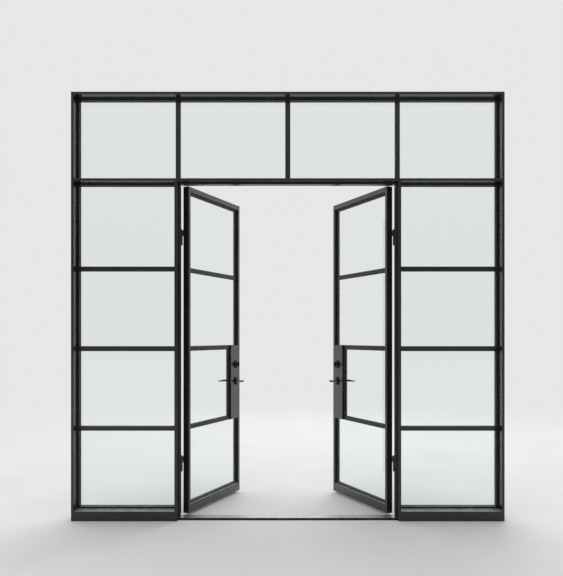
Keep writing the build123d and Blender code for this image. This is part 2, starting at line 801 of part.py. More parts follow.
def bolt_case(height):
    """A lock case: a round nose through the stile, its faceplate and a flat box round the crank."""
    nose = rod((leaf_free, leaf_mid, height), case_start - leaf_free, bolt_tube_radius, (1, 0, 0))
    half = case_thickness / 2
    case = block(
        (case_start, case_end),
        (leaf_mid - half, leaf_mid + half),
        (height - case_half_height, height + case_half_height),
    )
    inner = half - case_wall
    cavity = block(
        (case_start + case_wall, case_end - case_wall),
        (leaf_mid - inner, leaf_mid + inner),
        (height - case_half_height + case_wall, height + case_half_height - case_wall),
    )
    passage = bolt_passage(height, (leaf_free - overcut, case_start + case_wall + overcut), bolt_play)
    window = rod((lock_x, leaf_inner, height), leaf_thickness, spindle_hole_radius, (0, 1, 0))
    return nose + faceplate(height) + case - cavity - passage - window


def sliding_bolt(height, travel, arm, thrown):
    """A bolt whose flat tail is slotted for the crank pin: thrown says if it is out at rest."""
    head = leaf_free + bolt_face_recess - (travel if thrown else 0)
    riser = case_start + case_wall + bolt_face_recess + (0 if thrown else travel)
    body_end = riser + bolt_riser
    slot_x = lock_x + (-travel / 2 if thrown else travel / 2)
    slot_half = drive_slot_half
    lowest = sqrt(arm**2 - (travel / 2) ** 2) - slot_half
    highest = arm + slot_half
    body = bolt_passage(height, (head, body_end), 0)
    if thrown:
        corner_x, corner_y = head - overcut, leaf_mid - bolt_width / 2 - overcut
        leg = latch_bevel + 2 * overcut
        wedge = [(corner_x, corner_y), (corner_x + leg, corner_y), (corner_x, corner_y + leg)]
        body -= extrude(Pos(0, 0, height) * Polygon(*wedge, align=None), amount=bolt_height, both=True)
    outline = [
        (riser, height - bolt_height / 2),
        (body_end, height - bolt_height / 2),
        (body_end, height + lowest - drive_margin),
        (slot_x + tail_rim, height + lowest - drive_margin),
        (slot_x + tail_rim, height + highest + drive_margin),
        (riser, height + highest + drive_margin),
    ]
    plane = Plane(
        origin=(0, leaf_mid + drive_layer_gap, 0), x_dir=(1, 0, 0), z_dir=(0, -1, 0)
    )
    tail = extrude(plane * Polygon(*outline, align=None), amount=-drive_plate_thickness)
    slot = block(
        (slot_x - slot_half, slot_x + slot_half),
        (leaf_mid, leaf_outer),
        (height + lowest, height + highest),
    )
    return body + (tail - slot)


def square_bar(height, y, room):
    """A square spindle or shaft, or the socket for it when it has room round it."""
    half = spindle_size / 2 + room
    return block((lock_x - half, lock_x + half), y, (height - half, height + half))


def shoot_bolt(side):
    """A long rod inside the stile with its drive strip: side 1 goes up, side -1 goes down."""
    across = shoot_arm * cos(radians(turn_swing / 2))
    slot_half = drive_slot_half
    pin_z = turn_height - side * shoot_bolt_travel / 2
    slot_x = sorted(lock_x - side * reach for reach in (across - slot_half, shoot_arm + slot_half))
    edge_x = (slot_x[0] - drive_margin, slot_x[1] + drive_margin)
    strip_x = (edge_x[0], edge_x[0] + shoot_strip_width)
    if side < 0:
        strip_x = (edge_x[1] - shoot_strip_width, edge_x[1])
    far_z = tongue_limit(side) - side * shoot_bolt_travel
    tongue_z = far_z - side * shoot_tongue_height
    layer = (leaf_mid + drive_layer_gap, leaf_mid + drive_layer_gap + drive_plate_thickness)
    head_z = (pin_z - tail_rim, pin_z + tail_rim)
    head = block(edge_x, layer, head_z)
    strip = block(strip_x, layer, sorted((pin_z, far_z)))
    tongue = block((stile_mid, strip_x[1]), layer, sorted((tongue_z, far_z)))
    slot = block(slot_x, (leaf_mid, leaf_outer), (pin_z - slot_half, pin_z + slot_half))
    end = leaf_top - shoot_bolt_inset if side > 0 else leaf_bottom + shoot_bolt_inset
    low, high = sorted((tongue_z, end))
    bar = rod((stile_mid, leaf_mid, low), high - low, shoot_bolt_radius, (0, 0, 1))
    return head + strip + tongue + bar - slot


def tongue_limit(side):
    """How far towards its end of the lock box a drive tongue slides."""
    return box_top - tongue_end_room if side > 0 else box_bottom + tongue_end_room


def tongue_slot(side):
    """The slot in the stile's inner wall that a drive tongue slides along."""
    length = shoot_tongue_height + shoot_bolt_travel + tongue_slot_play
    end = tongue_limit(side)
    span = sorted((end + side * tongue_slot_play, end - side * length))
    layer = (leaf_mid, leaf_mid + 2 * drive_layer_gap + drive_plate_thickness)
    return block((lock_stile_inner - leaf_wall - overcut, lock_stile_inner + overcut), layer, span)


def shoot_hub():
    """The disc that the thumb-turn of the left leaf drives, with a pin for each shoot bolt."""
    disc = rod((lock_x, leaf_mid, turn_height), drive_arm_thickness, shoot_hub_radius, (0, -1, 0))
    hub = disc - square_bar(turn_height, (leaf_inner, leaf_mid + overcut), spindle_play)
    across = shoot_arm * cos(radians(turn_swing / 2))
    reach = drive_arm_thickness + drive_layer_gap + drive_plate_thickness
    for side in (-1, 1):
        at = (lock_x - side * across, leaf_mid - drive_arm_thickness, turn_height - side * across)
        hub += rod(at, reach, drive_pin_radius, (0, 1, 0))
    return hub


def shoot_case():
    """The open-ended case round the hub, on four posts from the lock box's indoor wall."""
    near = leaf_mid - drive_arm_thickness - drive_layer_gap
    far = leaf_mid + drive_plate_thickness + 2 * drive_layer_gap
    x = (lock_stile_inner + gear_case_gap, lock_x + gear_case_reach)
    z = (turn_height - gear_case_height / 2, turn_height + gear_case_height / 2)
    shell = block(x, (near - case_wall, far + case_wall), z)
    inside_z = (z[0] - overcut, z[1] + overcut)
    shell -= block((x[0] + case_wall, x[1] - case_wall), (near, far), inside_z)
    hole_length = near - leaf_inner + overcut
    shell -= rod((lock_x, leaf_inner, turn_height), hole_length, spindle_hole_radius, (0, 1, 0))
    post_length = near - case_wall - leaf_inner - lock_box_wall
    inset = gear_post_inset
    for post_x in (x[0] + inset, x[1] - inset):
        for post_z in (z[0] + inset, z[1] - inset):
            start = (post_x, leaf_inner + lock_box_wall, post_z)
            shell += rod(start, post_length, gear_post_radius, (0, 1, 0))
    return shell


def key_cylinder():
    """The key cylinder on the outdoor face of the right leaf, with its keyway upright."""
    far = leaf_outer + rose_thickness + cylinder_collar_length
    start = leaf_mid + case_thickness / 2
    rose_front = leaf_outer + rose_thickness
    body = rod((lock_x, start, turn_height), rose_front - start, cylinder_body_radius, (0, 1, 0))
    base = (lock_x, rose_front, turn_height)
    collar = rod(base, cylinder_collar_length, cylinder_collar_radius, (0, 1, 0))
    collar = chamfer(collar.edges().sort_by(Axis.Y)[-1], cylinder_collar_bevel)
    plug_length = cylinder_collar_length + cylinder_plug_rise
    plug = rod(base, plug_length, cylinder_plug_radius, (0, 1, 0))
    keyway = block(
        (lock_x - keyway_width / 2, lock_x + keyway_width / 2),
        (far - keyway_depth, far + cylinder_plug_rise + overcut),
        (turn_height - keyway_height / 2, turn_height + keyway_height / 2),
    )
    return body + collar + plug - keyway


def strike(height, room):
    """A strike plate in the free edge of the left leaf, with the hole that a bolt enters."""
    through = (leaf_free - overcut, leaf_free + leaf_wall + overcut)
    return faceplate(height) - bolt_passage(height, through, room)


def build_astragal():
    """The steel strip on the right leaf that covers the gap and laps the left leaf."""
    height = (leaf_bottom, leaf_top)
    far = leaf_outer + astragal_thickness
    fixed = block((leaf_free, leaf_free + astragal_width - astragal_lap), (leaf_outer, far), height)
    lap = block((-leaf_free - astragal_lap, leaf_free), (leaf_outer + astragal_play, far), height)
    return chamfer((fixed + lap).edges().filter_by(Axis.Z).group_by(Axis.Y)[-1], astragal_bevel)


def face_hole(height, face_y, outward, radius):
    """A hole through one face of the lock box."""
    start = face_y + outward * overcut
    return rod((lock_x, start, height), lock_box_wall + 2 * overcut, radius, (0, -outward, 0))


def leaf_body(name, stile_cuts, box_cuts):
    """The nodes that both leaves share, at the closed place on the right."""
    nodes = leaf_members(stile_cuts, box_cuts)
    bars, beads, panes, blocks = leaf_glazing()
    nodes["leaf_bars"] = bars
    nodes["leaf_beads"] = beads
    nodes["leaf_glass"] = panes
    nodes["leaf_setting_blocks"] = blocks
    nodes["leaf_hinges"] = [leaf_hinge(height) for height in hinge_heights]
    nodes["sweep"] = build_sweep()
    inner, outer, spindle = build_levers()
    nodes["inner_lever"] = inner
    nodes["outer_lever"] = outer
    nodes["spindle"] = spindle
    return {name + "_" + key: value for key, value in nodes.items()}


def shared_cuts():
    """Holes in the lock box that both leaves need for their spindles."""
    return [
        face_hole(lever_height, leaf_inner, -1, spindle_hole_radius),
        face_hole(lever_height, leaf_outer, 1, spindle_hole_radius),
        face_hole(turn_height, leaf_inner, -1, spindle_hole_radius),
    ]


def build_right_leaf():
    """The active leaf: it carries the latch, the deadbolt, the key cylinder and the astragal."""
    nose_room = bolt_tube_radius + running_clearance
    stile_cuts = []
    through = stile_face + 2 * overcut
    for height in (lever_height, turn_height):
        start = (leaf_free - overcut, leaf_mid, height)
        stile_cuts.append(rod(start, through, nose_room, (1, 0, 0)))
        stile_cuts.append(faceplate(height))
    cylinder_hole = face_hole(turn_height, leaf_outer, 1, cylinder_body_radius + running_clearance)
    nodes = leaf_body("right", stile_cuts, shared_cuts() + [cylinder_hole])
    neck_bore = neck_radius + running_clearance
    nodes["right_roses"] = [
        rose(lever_height, leaf_inner, -1, neck_bore),
        rose(lever_height, leaf_outer, 1, neck_bore),
        rose(turn_height, leaf_inner, -1, turn_stem_radius + running_clearance),
        rose(turn_height, leaf_outer, 1, cylinder_body_radius + running_clearance),
    ]
    pin_reach = drive_layer_gap + drive_plate_thickness
    nodes["right_spindle"] += crank(lever_height, latch_arm, -lever_swing / 2, pin_reach)
    shaft = square_bar(turn_height, (leaf_inner - rose_thickness, leaf_mid), 0)
    throw = crank(turn_height, deadbolt_arm, turn_swing / 2, pin_reach)
    nodes["right_turn"] = turn_knob() + shaft + throw
    nodes["lock_cases"] = [bolt_case(lever_height), bolt_case(turn_height)]
    nodes["latch_bolt"] = sliding_bolt(lever_height, latch_travel, latch_arm, True)
    nodes["deadbolt"] = sliding_bolt(turn_height, deadbolt_travel, deadbolt_arm, False)
    nodes["key_cylinder"] = key_cylinder()
    nodes["astragal"] = build_astragal()
    return nodes


def build_left_leaf():
    """The second leaf, built on the right and mirrored: it carries the strikes and shoot bolts."""
    rod_room = shoot_bolt_radius + running_clearance
    low, through = leaf_bottom - overcut, leaf_wall + 2 * overcut
    stile_cuts = [
        rod((stile_mid, leaf_mid, low), through, rod_room, (0, 0, 1)),
        rod((stile_mid, leaf_mid, leaf_top + overcut), through, rod_room, (0, 0, -1)),
        tongue_slot(1),
        tongue_slot(-1),
        faceplate(lever_height),
        faceplate(turn_height),
    ]
    nodes = leaf_body("left", stile_cuts, shared_cuts())
    neck_bore = neck_radius + running_clearance
    nodes["left_roses"] = [
        rose(lever_height, leaf_inner, -1, neck_bore),
        rose(lever_height, leaf_outer, 1, neck_bore),
        rose(turn_height, leaf_inner, -1, turn_stem_radius + running_clearance),
    ]
    shaft = square_bar(turn_height, (leaf_inner - rose_thickness, leaf_mid), 0)
    nodes["left_turn"] = turn_knob() + shaft
    nodes["shoot_bolt_hub"] = shoot_hub()
    nodes["shoot_bolt_case"] = shoot_case()
    nodes["top_shoot_bolt"] = shoot_bolt(1)
    nodes["bottom_shoot_bolt"] = shoot_bolt(-1)
    nodes["strike_plates"] = [strike(lever_height, strike_play), strike(turn_height, strike_play)]
    return nodes


def build_keeps():
    """Keeps for the shoot bolts: a plate under the transom rail and a bush in the threshold."""
    half_length, half_width = keep_plate_length / 2, keep_plate_width / 2
    plate = block(
        (-stile_mid - half_length, -stile_mid + half_length),
        (leaf_mid - half_width, leaf_mid + half_width),
        (transom_underside - keep_plate, transom_underside),
    )
    plate_hole = (-stile_mid, leaf_mid, transom_underside + overcut)
    plate -= rod(plate_hole, keep_plate + 2 * overcut, keep_radius, (0, 0, -1))
    bush_radius = keep_radius + keep_bush_wall
    bush_height = threshold_surface(leaf_mid + bush_radius)
    bush = rod((-stile_mid, leaf_mid, 0), bush_height, bush_radius, (0, 0, 1))
    bush_hole = (-stile_mid, leaf_mid, -overcut)
    bush -= rod(bush_hole, bush_height + 2 * overcut, keep_radius, (0, 0, 1))
    return [plate, bush]


def swing(shape, side, angle):
    """Turn a closed leaf's piece outdoors about its hinge pin: side 1 is the right leaf."""
    centre = Pos(side * pivot_x, pivot_y, 0)
    back_again = Pos(-side * pivot_x, -pivot_y, 0)
    return centre * Rot(0, 0, -side * angle) * back_again * shape


def each(shapes, change):
    """Change one solid, or every solid of a list."""
    if isinstance(shapes, list):
        return [change(shape) for shape in shapes]
    return change(shapes)


def save(name, shapes):
    """Write one node: several solids become one compound."""
    solids = []
    for shape in shapes if isinstance(shapes, list) else [shapes]:
        solids += shape.solids()
    export_step(solids[0] if len(solids) == 1 else Compound(solids), f"parts/{name}.step")


def build():
    """Every node of the part at rest, with both leaves open as the driving angles say."""
    nodes = build_frame_members()
    nodes.update(build_fixed_glazing())
    nodes["threshold"] = build_threshold()
    nodes["door_stops"], nodes["door_seals"] = build_door_stops()
    right_hinges = [frame_hinge(height) for height in hinge_heights]
    nodes["frame_hinges"] = right_hinges + [mirror(hinge, about=Plane.YZ) for hinge in right_hinges]
    nodes["shoot_bolt_keeps"] = build_keeps()
    for name, shapes in build_right_leaf().items():
        nodes[name] = each(shapes, lambda shape: swing(shape, 1, right_open_angle))
    for name, shapes in build_left_leaf().items():
        nodes[name] = each(
            shapes, lambda shape: swing(mirror(shape, about=Plane.YZ), -1, left_open_angle)
        )
    return nodes


for node, shape in build().items():
    save(node, shape)
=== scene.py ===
import json
import random
from math import cos, pi, radians, sin

import bpy
from mathutils import Matrix, Vector

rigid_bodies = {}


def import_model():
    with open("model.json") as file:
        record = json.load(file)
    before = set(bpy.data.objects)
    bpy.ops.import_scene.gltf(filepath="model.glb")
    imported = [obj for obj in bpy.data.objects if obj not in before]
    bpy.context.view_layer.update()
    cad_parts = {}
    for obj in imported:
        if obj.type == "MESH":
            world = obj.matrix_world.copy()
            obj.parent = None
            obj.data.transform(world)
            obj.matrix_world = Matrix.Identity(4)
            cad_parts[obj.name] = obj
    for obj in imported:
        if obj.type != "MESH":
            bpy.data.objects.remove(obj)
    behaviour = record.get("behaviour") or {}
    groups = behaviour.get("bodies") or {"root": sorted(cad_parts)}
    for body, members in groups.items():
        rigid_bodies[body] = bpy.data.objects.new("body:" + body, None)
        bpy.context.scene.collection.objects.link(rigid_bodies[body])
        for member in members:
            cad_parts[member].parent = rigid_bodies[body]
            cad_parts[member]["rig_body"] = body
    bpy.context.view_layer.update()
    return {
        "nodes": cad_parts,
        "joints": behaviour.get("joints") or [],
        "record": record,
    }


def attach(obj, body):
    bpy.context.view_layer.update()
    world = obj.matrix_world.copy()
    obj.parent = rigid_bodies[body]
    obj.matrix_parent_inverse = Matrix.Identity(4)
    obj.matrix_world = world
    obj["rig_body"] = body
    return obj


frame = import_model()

nodes = frame["nodes"]
slot_of = {entry["node"]: entry["material_slot"] for entry in frame["record"]["subparts"]}
SIDES = ("left", "right")

# Decimal places of a metre to which points are merged and boxes are sorted
MERGE_DIGITS = 5
SORT_DIGITS = 4
# Points nearer than this along each axis are one point, and levels nearer than this are one level
SAME_POINT = 0.0005
SAME_LEVEL = 0.001


# Places
def leaf_joint(side):
    """The hinge that a leaf swings on."""
    return next(joint for joint in frame["joints"] if joint["name"] == side + "_leaf_swing")


def leaf_rest(side):
    """The move that takes a piece from the closed leaf to the leaf's rest place."""
    joint = leaf_joint(side)
    pivot = Vector(joint["pos_m"])
    turn = Matrix.Rotation(radians(-joint["range_deg"][0]), 4, Vector(joint["axis"]))
    return Matrix.Translation(pivot) @ turn @ Matrix.Translation(-pivot)


def leaf_turn(side):
    """The turn about Z, in radians, that takes a leaf from its rest place to closed."""
    joint = leaf_joint(side)
    return radians(joint["range_deg"][0] * joint["axis"][2])


# The frame has no side, and stays where it is
REST = {side: leaf_rest(side) for side in SIDES}
CLOSED = {None: Matrix.Identity(4)} | {side: REST[side].inverted() for side in SIDES}


def points(name, side=None):
    """The points of a CAD node, as if its leaf were closed."""
    return [CLOSED[side] @ v.co for v in nodes[name].data.vertices]


def islands(name, side=None):
    """The box of each loose solid of a CAD node, as if its leaf were closed."""
    mesh = nodes[name].data
    keys, parent, index = {}, [], []
    for v in mesh.vertices:
        key = tuple(round(c, MERGE_DIGITS) for c in v.co)
        if key not in keys:
            keys[key] = len(parent)
            parent.append(keys[key])
        index.append(keys[key])

    def root(i):
        while parent[i] != i:
            parent[i] = parent[parent[i]]
            i = parent[i]
        return i

    for face in mesh.polygons:
        first = root(index[face.vertices[0]])
        for v in face.vertices[1:]:
            parent[root(index[v])] = first
    boxes = {}
    for key, i in keys.items():
        place = CLOSED[side] @ Vector(key)
        low, high = boxes.setdefault(root(i), (list(place), list(place)))
        for k in range(3):
            low[k] = min(low[k], place[k])
            high[k] = max(high[k], place[k])
    found = [(Vector(low), Vector(high)) for low, high in boxes.values()]
    return sorted(found, key=lambda box: tuple(round(c, SORT_DIGITS) for c in (*box[0], *box[1])))


def corners(low, high, y):
    """The corners of an upright rectangle at a depth y, from its lowest and highest (x, z)."""
    ends = ((low[0], low[1]), (high[0], low[1]), (high[0], high[1]), (low[0], high[1]))
    return [Vector((x, y, z)) for x, z in ends]


def grown(low, high, margin):
    """A rectangle with a margin added on every side, or taken off where it is negative."""
    return (low[0] - margin, low[1] - margin), (high[0] + margin, high[1] + margin)


def spread(start, end, inset, count):
    """Places at an even pitch, the first and the last an inset away from the ends."""
    span = end - start - 2 * inset
    return [start + inset + span * i / (count - 1) for i in range(count)]


# Mesh pieces
# Sizes of a screw head and its crossed recess, as shares of the head's radius
CROSS_HALF_WIDTH = 0.14
CROSS_REACH = 0.58
CROSS_DEPTH = 0.55
HEAD_RINGS = (0.8, 1.0)
SUNK_RADIUS = 0.9
SUNK_DEPTH = 0.12
# The cross's inner corner as a share of its half width, and its floor as a share of its mouth
CROSS_CORNER = 1.3
CROSS_FLOOR = 0.55
# One run of chance gives every screw head its turn, in the order in which the heads are made
rolls = random.Random(11)


class Mesh:
    """Points and faces that several small forms are gathered in."""

    def __init__(self):
        self.verts, self.faces = [], []

    def add(self, verts, faces):
        """Gather one more form, whose faces count from its own first point."""
        base = len(self.verts)
        self.verts += verts
        self.faces += [tuple(base + i for i in face) for face in faces]

    def ring_loop(self, rings, flip=False):
        """Rings of four corners, each joined to the next and the last to the first."""
        faces = []
        for i in range(len(rings)):
            first, second = 4 * i, 4 * ((i + 1) % len(rings))
            for k in range(4):
                after = (k + 1) % 4
                face = (first + k, first + after, second + after, second + k)
                faces.append(face[::-1] if flip else face)
        self.add([corner for ring in rings for corner in ring], faces)

    def mitred_ring(self, low, high, glass_y, outward, profile):
        """A strip round a pane: profile points are (inward from the edge, up from the glass)."""
        rings = [
            corners(*grown(low, high, -inward), glass_y + outward * rise)
            for inward, rise in profile
        ]
        self.ring_loop(rings, flip=outward > 0)

    def lathe(self, middle, axis, profile, segments):
        """A turned form: profile points are (radius, distance along the axis)."""
        axis = Vector(axis).normalized()
        across = axis.orthogonal().normalized()
        other = axis.cross(across)
        verts, faces, rings = [], [], []
        for radius, rise in profile:
            if radius == 0:
                rings.append([len(verts)])
                verts.append(Vector(middle) + axis * rise)
                continue
            ring = []
            for i in range(segments):
                angle = 2 * pi * i / segments
                ring.append(len(verts))
                spoke = across * cos(angle) + other * sin(angle)
                verts.append(Vector(middle) + axis * rise + spoke * radius)
            rings.append(ring)
        for low, high in zip(rings, rings[1:]):
            for i in range(segments):
                k = (i + 1) % segments
                if len(low) == 1:
                    faces.append((low[0], high[k], high[i]))
                elif len(high) == 1:
                    faces.append((low[i], low[k], high[0]))
                else:
                    faces.append((low[i], low[k], high[k], high[i]))
        self.add(verts, faces)

    def screw(self, middle, axis, radius, rise):
        """A countersunk screw head with a crossed recess, its rim level with the surface."""
        axis = Vector(axis).normalized()
        across = Matrix.Rotation(rolls.uniform(0, pi), 3, axis) @ axis.orthogonal().normalized()
        other = axis.cross(across)
        middle = Vector(middle)
        crown = radius * rise
        half, reach = radius * CROSS_HALF_WIDTH, radius * CROSS_REACH
        corner = half * CROSS_CORNER
        # The outline of the cross, as (along, across) pairs
        cross = []
        for quarter in range(4):
            angle = quarter * pi / 2
            for u, v in ((reach, -half), (reach, half), (corner, corner)):
                cross.append((u * cos(angle) - v * sin(angle), u * sin(angle) + v * cos(angle)))
        spokes = [Vector(point).normalized() for point in cross]
        verts, faces = [], []

        def level(distance):
            return crown * (1 - (distance / radius) ** 2)

        def put(u, v, height):
            verts.append(middle + across * u + other * v + axis * height)

        for u, v in cross:
            put(u * CROSS_FLOOR, v * CROSS_FLOOR, -radius * CROSS_DEPTH + crown)
        for u, v in cross:
            put(u, v, level((u * u + v * v) ** 0.5))
        for share in HEAD_RINGS:
            for x, y in spokes:
                put(x * radius * share, y * radius * share, level(radius * share))
        for x, y in spokes:
            put(x * radius * SUNK_RADIUS, y * radius * SUNK_RADIUS, -radius * SUNK_DEPTH)
        count = len(cross)
        for start in range(0, len(verts) - count, count):
            for i in range(count):
                a, b = start + i, start + (i + 1) % count
                faces.append((a, b, b + count, a + count))
        faces.append(tuple(range(count)))
        self.add(verts, faces)

    def make(self, name, body, slot, side=None, smooth=False):
        """Make the piece that rides a body; its points are given for the closed leaf."""
        mesh = bpy.data.meshes.new(name)
        mesh.from_pydata([tuple(v) for v in self.verts], [], self.faces)
        if side:
            mesh.transform(REST[side])
        mesh.update()
        mesh.validate()
        for face in mesh.polygons:
            face.use_smooth = smooth
        obj = bpy.data.objects.new(name, mesh)
        bpy.context.scene.collection.objects.link(obj)
        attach(obj, body)
        dress(obj, slot, body)


# Node trees
class Nodes:
    """The nodes of a material or a world, added one by one."""

    def __init__(self, owner):
        owner.use_nodes = True
        self.tree = owner.node_tree
        self.tree.nodes.clear()

    def node(self, kind, **settings):
        node = self.tree.nodes.new(kind)
        for key, value in settings.items():
            setattr(node, key, value)
        return node

    def wire(self, source, target):
        self.tree.links.new(source, target)

    def feed(self, socket, value):
        """Give a socket a number, a colour or another node's output."""
        if isinstance(value, (int, float)):
            socket.default_value = value
        elif isinstance(value, tuple):
            socket.default_value = value + ((1.0,) if len(value) == 3 else ())
        else:
            self.wire(value, socket)

    def map(self, value, span, to=(0.0, 1.0), kind="SMOOTHSTEP"):
        """A value that runs from the one end of `to` to the other over a span of the input."""
        node = self.node("ShaderNodeMapRange", interpolation_type=kind)
        self.feed(node.inputs["Value"], value)
        for key, number in zip(("From Min", "From Max", "To Min", "To Max"), (*span, *to)):
            node.inputs[key].default_value = number
        return node.outputs[0]

    def math(self, operation, a, b):
        node = self.node("ShaderNodeMath", operation=operation)
        self.feed(node.inputs[0], a)
        self.feed(node.inputs[1], b)
        return node.outputs[0]

    def split(self, vector):
        """The x, y and z of a vector."""
        node = self.node("ShaderNodeSeparateXYZ")
        self.wire(vector, node.inputs[0])
        return node.outputs

    def blend(self, factor, first, second):
        """A blend of two shaders."""
        node = self.node("ShaderNodeMixShader")
        for socket, source in zip(node.inputs, (factor, first, second)):
            self.wire(source, socket)
        return node.outputs[0]


# The dot product of the true and the rounded normal, on a flat face and at an edge
EDGE_SPAN = (0.995, 0.85)


class Look(Nodes):
    """A procedural material built on the surface's own coordinates."""

    def __init__(self, name, turn=0.0):
        self.material = bpy.data.materials.new(name)
        super().__init__(self.material)
        self.out = self.node("ShaderNodeOutputMaterial")
        self.shader = self.node("ShaderNodeBsdfPrincipled")
        self.wire(self.shader.outputs[0], self.out.inputs[0])
        mapping = self.node("ShaderNodeMapping")
        mapping.inputs["Rotation"].default_value = (0, 0, turn)
        self.wire(self.node("ShaderNodeTexCoord").outputs["Object"], mapping.inputs["Vector"])
        self.coords = mapping.outputs[0]
        self.normal = None

    def set(self, **values):
        """Set what is the same all over on the shader's own sockets."""
        for key, value in values.items():
            self.shader.inputs[key.replace("_", " ")].default_value = value

    def noise(self, scale, detail, stretch=None, roughness=0.5):
        """A noise value from 0 to 1; a stretch below 1 makes it longer along that axis."""
        source = self.coords
        if stretch:
            fit = self.node("ShaderNodeMapping")
            fit.inputs["Scale"].default_value = stretch
            self.wire(source, fit.inputs[0])
            source = fit.outputs[0]
        noise = self.node("ShaderNodeTexNoise")
        noise.inputs["Scale"].default_value = scale
        noise.inputs["Detail"].default_value = detail
        noise.inputs["Roughness"].default_value = roughness
        self.wire(source, noise.inputs["Vector"])
        return noise.outputs[0]

    def mix(self, factor, a, b):
        """A blend of two colours, in the sockets that a Mix node keeps for colours."""
        node = self.node("ShaderNodeMix", data_type="RGBA")
        for i, value in ((0, factor), (6, a), (7, b)):
            self.feed(node.inputs[i], value)
        return node.outputs[2]

    def up(self):
        """How far the surface faces upwards."""
        return self.split(self.node("ShaderNodeNewGeometry").outputs["Normal"])[2]

    def along(self, axis):
        """A point's place along an axis of the object, in metres: 0, 1, 2 for x, y, z."""
        return self.split(self.coords)[axis]

    def round_edges(self, radius):
        """Let edges catch the light as if rounded, and tell how near an edge a point is."""
        bevel = self.node("ShaderNodeBevel", samples=4)
        bevel.inputs["Radius"].default_value = radius
        self.normal = bevel.outputs[0]
        dot = self.node("ShaderNodeVectorMath", operation="DOT_PRODUCT")
        self.wire(bevel.outputs[0], dot.inputs[0])
        self.wire(self.node("ShaderNodeNewGeometry").outputs["Normal"], dot.inputs[1])
        return self.map(dot.outputs["Value"], EDGE_SPAN)

    def bump(self, height, distance, strength):
        """Lay a bump over the normal that the look has so far."""
        node = self.node("ShaderNodeBump")
        node.inputs["Strength"].default_value = strength
        node.inputs["Distance"].default_value = distance
        self.feed(node.inputs["Height"], height)
        if self.normal is not None:
            self.wire(self.normal, node.inputs["Normal"])
        self.normal = node.outputs[0]

    def finish(self, colour, roughness):
        """Give the shader its colour, roughness and normal, and hand over the material."""
        self.feed(self.shader.inputs["Base Color"], colour)
        self.feed(self.shader.inputs["Roughness"], roughness)
        if self.normal is not None:
            self.wire(self.normal, self.shader.inputs["Normal"])
        return self.material


def scaled(colour, factor):
    """A colour made lighter by a factor above 1, or darker by one below."""
    return tuple(c * factor for c in colour)


# Paint
# Scales are noise cells per metre, depths and heights are metres, and shares run from 0 to 1.
# A span is the part of a noise over which a tone or a share comes in.
MIDDLE = (0.3, 0.7)
PAINT = (0.0115, 0.0128, 0.0115)
SHEEN = (0.95, 1.0, 0.945, 1.0)
PATCH_SCALE = 1.7
PATCH_TONES = (0.82, 1.22)
CLOUD_SCALE = 14.0
GRAIN_SCALE = 260.0
GRAIN_TONE = 2.0
GRAIN_SPAN = (0.35, 0.7)
GRAIN_SHARE = 0.1
GRAIN_DEPTH = 0.00004
SPECK_SCALE = 900.0
SPECK_DEPTH = 0.00001
PAINT_BUMP = 0.5
GLOSSIER = 0.02
DULLER = 0.04
RUBBED = (0.13, 0.115, 0.1)
RUBBED_SPAN = (0.45, 0.75)
RUBBED_SHARE = 0.5
RUBBED_GLOSS = 0.1
# Dust on upward faces, also a painted highlight: the pale colour stands in for sky reflected on
# ledges
DUST_AND_HIGHLIGHT = (0.27, 0.285, 0.285)
DUST_AND_HIGHLIGHT_ROUGHNESS = 0.3
DUST_AND_HIGHLIGHT_FACING_UP = (0.25, 0.95)
DUST_AND_HIGHLIGHT_SPAN = (0.25, 0.75)
DUST_AND_HIGHLIGHT_THIN = 0.45
LOW_DUST_AND_HIGHLIGHT = (0.43, 0.48, 0.49)
LOW_DUST_AND_HIGHLIGHT_HEIGHTS = (0.3, 0.1)
LOW_DUST_AND_HIGHLIGHT_SHARE = 0.9
SPLASH_SCALE = 38.0
SPLASH_HEIGHTS = (0.42, 0.0)
SPLASH_SPAN = (0.5, 0.85)
SPLASH_SHARE = 0.05


